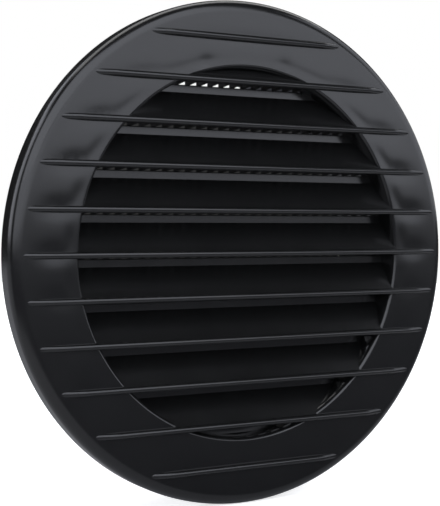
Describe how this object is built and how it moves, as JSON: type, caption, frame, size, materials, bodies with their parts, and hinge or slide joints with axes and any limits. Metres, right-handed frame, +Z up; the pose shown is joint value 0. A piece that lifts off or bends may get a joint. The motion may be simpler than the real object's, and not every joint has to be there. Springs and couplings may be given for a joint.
{
  "type": "round vent grille",
  "caption": "Round vent grille with raised cross ribs, sloping louvre slats, upright insect bars and a spigot that enters a duct.",
  "frame": {"origin": "on the grille's axis, in the plane where the back of the rim meets the wall", "axes": "+Y along the axis, from the face into the duct; +X along the ribs; +Z up, so that the slats shed rain"},
  "size_m": [0.13, 0.0272, 0.13],
  "materials": {
    "black_plastic": "satin black moulded plastic"
  },
  "bodies": {
    "root": {"grille": "black_plastic"}
  },
  "joints": []
}
